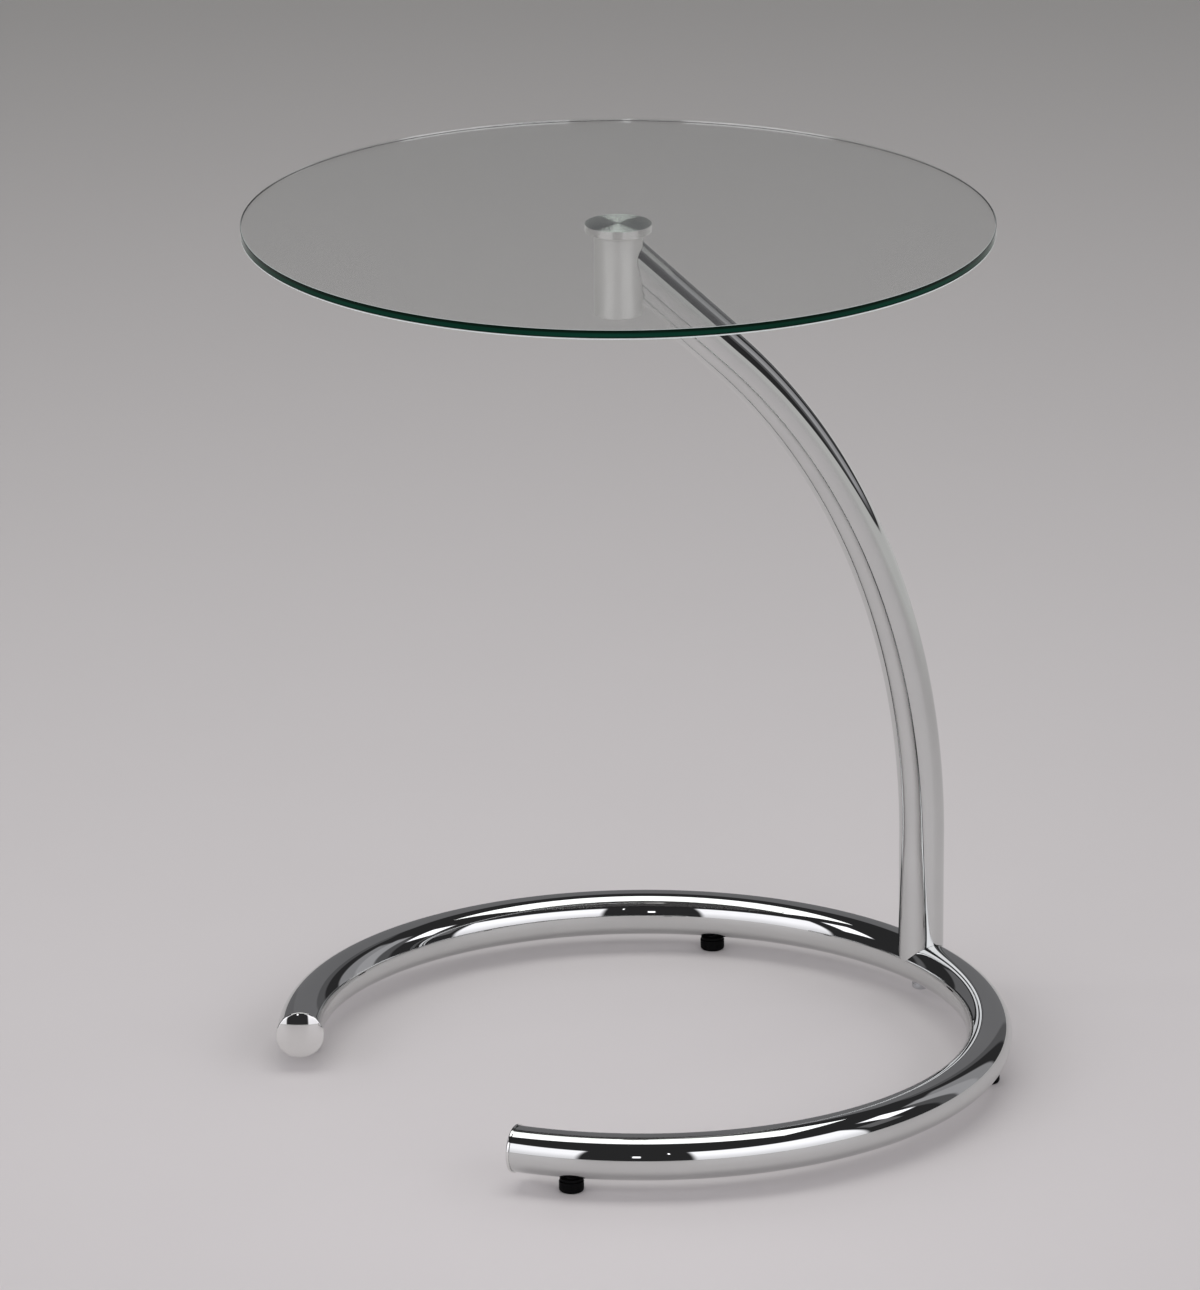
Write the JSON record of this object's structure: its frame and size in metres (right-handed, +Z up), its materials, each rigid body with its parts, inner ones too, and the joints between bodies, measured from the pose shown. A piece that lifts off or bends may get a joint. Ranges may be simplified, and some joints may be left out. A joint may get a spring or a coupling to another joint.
{
  "type": "glass side table",
  "caption": "Round glass side table on an open ring base, with one bent tube arm rising from the back of the ring to a post under the glass.",
  "frame": {"origin": "on the floor, half way between the centre of the glass and the centre of the base ring", "axes": "+Z up; +Y towards the side where the arm rises; the base ring's mouth opens towards -Y"},
  "size_m": [0.45, 0.468, 0.542],
  "materials": {
    "glass": "clear float glass with a green edge, ground and polished",
    "chrome_tube": "bright chrome plate on steel tube",
    "satin_aluminium": "turned, satin anodised",
    "turned_disc": "fine spun finish, natural anodised",
    "plain_steel": "welded-in turned steel, hidden",
    "fastener_steel": "bright zinc plate",
    "foot_plastic": "moulded, satin black"
  },
  "bodies": {
    "root": {"glass_top": "glass", "glass_disc": "turned_disc", "spacer_ring": "satin_aluminium", "post": "satin_aluminium", "post_bolt": "fastener_steel", "lock_washer": "fastener_steel", "arm_tube": "chrome_tube", "arm_head_plug": "plain_steel", "arm_foot_plug": "plain_steel", "base_bolt": "fastener_steel", "saddle_washer": "fastener_steel", "base_ring": "chrome_tube", "end_cap_right": "chrome_tube", "end_cap_left": "chrome_tube", "foot_insert_right_back": "plain_steel", "foot_insert_right_front": "plain_steel", "foot_insert_left_back": "plain_steel", "foot_insert_left_front": "plain_steel"},
    "pad_right_back": {"foot_pad_right_back": "foot_plastic"},
    "stud_right_back": {"foot_stud_right_back": "fastener_steel", "foot_collar_right_back": "foot_plastic"},
    "pad_right_front": {"foot_pad_right_front": "foot_plastic"},
    "stud_right_front": {"foot_stud_right_front": "fastener_steel", "foot_collar_right_front": "foot_plastic"},
    "pad_left_back": {"foot_pad_left_back": "foot_plastic"},
    "stud_left_back": {"foot_stud_left_back": "fastener_steel", "foot_collar_left_back": "foot_plastic"},
    "pad_left_front": {"foot_pad_left_front": "foot_plastic"},
    "stud_left_front": {"foot_stud_left_front": "fastener_steel", "foot_collar_left_front": "foot_plastic"}
  },
  "joints": [
    {"name": "foot_lift_right_back", "type": "slide", "parent": "root", "child": "pad_right_back", "axis": [0, 0, -1], "range_m": [0, 0.004]},
    {"name": "stud_turn_right_back", "type": "hinge", "parent": "pad_right_back", "child": "stud_right_back", "pos_m": [0.1439, 0.16332, 0.009], "axis": [0, 0, -1], "range_deg": [0, 1440]},
    {"name": "foot_lift_right_front", "type": "slide", "parent": "root", "child": "pad_right_front", "axis": [0, 0, -1], "range_m": [0, 0.004]},
    {"name": "stud_turn_right_front", "type": "hinge", "parent": "pad_right_front", "child": "stud_right_front", "pos_m": [0.14336, -0.14582, 0.009], "axis": [0, 0, -1], "range_deg": [0, 1440]},
    {"name": "foot_lift_left_back", "type": "slide", "parent": "root", "child": "pad_left_back", "axis": [0, 0, -1], "range_m": [0, 0.004]},
    {"name": "stud_turn_left_back", "type": "hinge", "parent": "pad_left_back", "child": "stud_left_back", "pos_m": [-0.1439, 0.16332, 0.009], "axis": [0, 0, -1], "range_deg": [0, 1440]},
    {"name": "foot_lift_left_front", "type": "slide", "parent": "root", "child": "pad_left_front", "axis": [0, 0, -1], "range_m": [0, 0.004]},
    {"name": "stud_turn_left_front", "type": "hinge", "parent": "pad_left_front", "child": "stud_left_front", "pos_m": [-0.14336, -0.14582, 0.009], "axis": [0, 0, -1], "range_deg": [0, 1440]}
  ],
  "couplings": [
    {"joint": "stud_turn_right_back", "follows": "foot_lift_right_back", "rad_per_m": 6283.2},
    {"joint": "stud_turn_right_front", "follows": "foot_lift_right_front", "rad_per_m": 6283.2},
    {"joint": "stud_turn_left_back", "follows": "foot_lift_left_back", "rad_per_m": 6283.2},
    {"joint": "stud_turn_left_front", "follows": "foot_lift_left_front", "rad_per_m": 6283.2}
  ]
}
